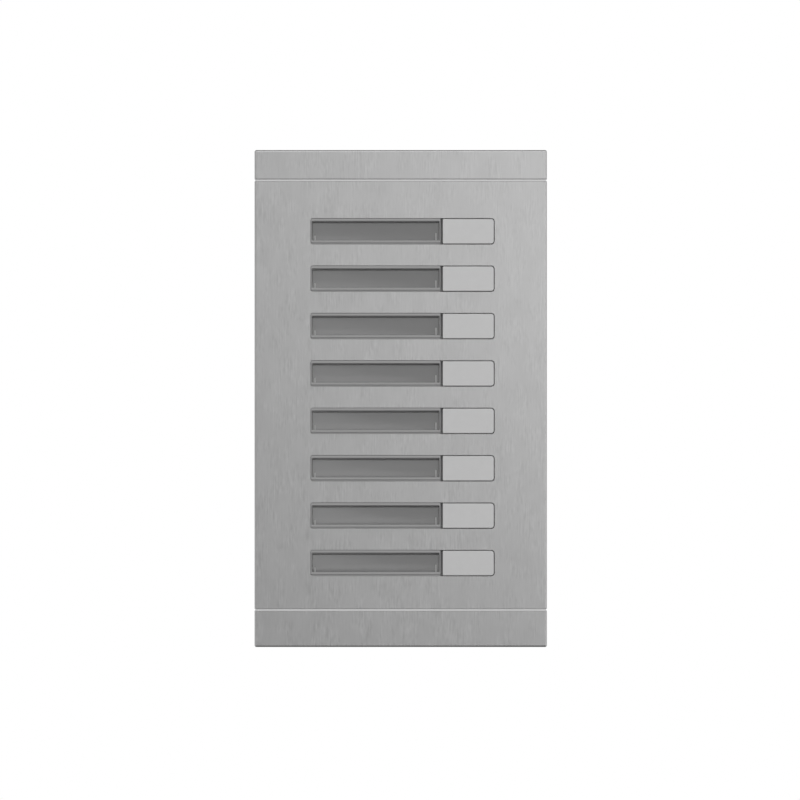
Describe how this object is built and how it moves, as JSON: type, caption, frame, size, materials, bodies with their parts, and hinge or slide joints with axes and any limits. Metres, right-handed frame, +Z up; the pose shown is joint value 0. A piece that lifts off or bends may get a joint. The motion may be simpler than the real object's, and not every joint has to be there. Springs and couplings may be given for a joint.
{
  "type": "door intercom call panel",
  "caption": "Surface-mounted door intercom call panel: a brushed aluminium shell with rows of lit name windows, each beside a spring-returned call button.",
  "frame": {"origin": "centre of the rectangle of four wall-screw holes, on the plane of the wall", "axes": "+X to the right and +Z up for someone facing the panel, +Y into the wall; the front faces -Y"},
  "size_m": [0.12, 0.0344, 0.204],
  "materials": {
    "brushed_aluminium": "brushed along its height, satin anodised",
    "polished_trim": "polished",
    "grey_plastic": "fine moulded grain",
    "silver_button": "satin silver paint",
    "white_plastic": "moulded",
    "smoked_window": "smoked, polished",
    "name_card": "blank",
    "light_guide": "translucent white",
    "silicone": "matt",
    "circuit_board": "solder mask over copper",
    "black_plastic": "moulded",
    "lamp_lens": "clear resin over phosphor",
    "green_plastic": "moulded",
    "zinc_screw": "zinc plated",
    "stainless_screw": "turned stainless steel",
    "box_plastic": "fine moulded grain",
    "grommet_rubber": "matt",
    "seal_foam": "closed-cell foam"
  },
  "bodies": {
    "housing": {"front_cover": "brushed_aluminium", "top_cap": "brushed_aluminium", "bottom_cap": "brushed_aluminium", "top_trim_strip": "polished_trim", "bottom_trim_strip": "polished_trim", "chassis": "grey_plastic", "name_window_1": "smoked_window", "name_window_2": "smoked_window", "name_window_3": "smoked_window", "name_window_4": "smoked_window", "name_window_5": "smoked_window", "name_window_6": "smoked_window", "name_window_7": "smoked_window", "name_window_8": "smoked_window", "name_card_1": "name_card", "name_card_2": "name_card", "name_card_3": "name_card", "name_card_4": "name_card", "name_card_5": "name_card", "name_card_6": "name_card", "name_card_7": "name_card", "name_card_8": "name_card", "light_guide_1": "light_guide", "light_guide_2": "light_guide", "light_guide_3": "light_guide", "light_guide_4": "light_guide", "light_guide_5": "light_guide", "light_guide_6": "light_guide", "light_guide_7": "light_guide", "light_guide_8": "light_guide", "button_seal": "silicone", "circuit_board": "circuit_board", "switch_housings": "black_plastic", "backlight_leds": "lamp_lens", "board_components": "black_plastic", "terminal_block": "green_plastic", "terminal_screws": "zinc_screw", "board_screws": "zinc_screw", "shell_screws": "zinc_screw", "security_screws": "stainless_screw", "rear_box": "box_plastic", "box_gasket": "silicone", "cable_grommet": "grommet_rubber", "wall_seal": "seal_foam"},
    "button_1": {"call_button_1": "silver_button", "switch_plunger_1": "white_plastic"},
    "button_2": {"call_button_2": "silver_button", "switch_plunger_2": "white_plastic"},
    "button_3": {"call_button_3": "silver_button", "switch_plunger_3": "white_plastic"},
    "button_4": {"call_button_4": "silver_button", "switch_plunger_4": "white_plastic"},
    "button_5": {"call_button_5": "silver_button", "switch_plunger_5": "white_plastic"},
    "button_6": {"call_button_6": "silver_button", "switch_plunger_6": "white_plastic"},
    "button_7": {"call_button_7": "silver_button", "switch_plunger_7": "white_plastic"},
    "button_8": {"call_button_8": "silver_button", "switch_plunger_8": "white_plastic"}
  },
  "joints": [
    {"name": "button_1_press", "type": "slide", "parent": "housing", "child": "button_1", "axis": [0, 1, 0], "range_m": [0, 0.001], "stiffness_N_per_m": 1000, "springref_m": -0.001},
    {"name": "button_2_press", "type": "slide", "parent": "housing", "child": "button_2", "axis": [0, 1, 0], "range_m": [0, 0.001], "stiffness_N_per_m": 1000, "springref_m": -0.001},
    {"name": "button_3_press", "type": "slide", "parent": "housing", "child": "button_3", "axis": [0, 1, 0], "range_m": [0, 0.001], "stiffness_N_per_m": 1000, "springref_m": -0.001},
    {"name": "button_4_press", "type": "slide", "parent": "housing", "child": "button_4", "axis": [0, 1, 0], "range_m": [0, 0.001], "stiffness_N_per_m": 1000, "springref_m": -0.001},
    {"name": "button_5_press", "type": "slide", "parent": "housing", "child": "button_5", "axis": [0, 1, 0], "range_m": [0, 0.001], "stiffness_N_per_m": 1000, "springref_m": -0.001},
    {"name": "button_6_press", "type": "slide", "parent": "housing", "child": "button_6", "axis": [0, 1, 0], "range_m": [0, 0.001], "stiffness_N_per_m": 1000, "springref_m": -0.001},
    {"name": "button_7_press", "type": "slide", "parent": "housing", "child": "button_7", "axis": [0, 1, 0], "range_m": [0, 0.001], "stiffness_N_per_m": 1000, "springref_m": -0.001},
    {"name": "button_8_press", "type": "slide", "parent": "housing", "child": "button_8", "axis": [0, 1, 0], "range_m": [0, 0.001], "stiffness_N_per_m": 1000, "springref_m": -0.001}
  ]
}
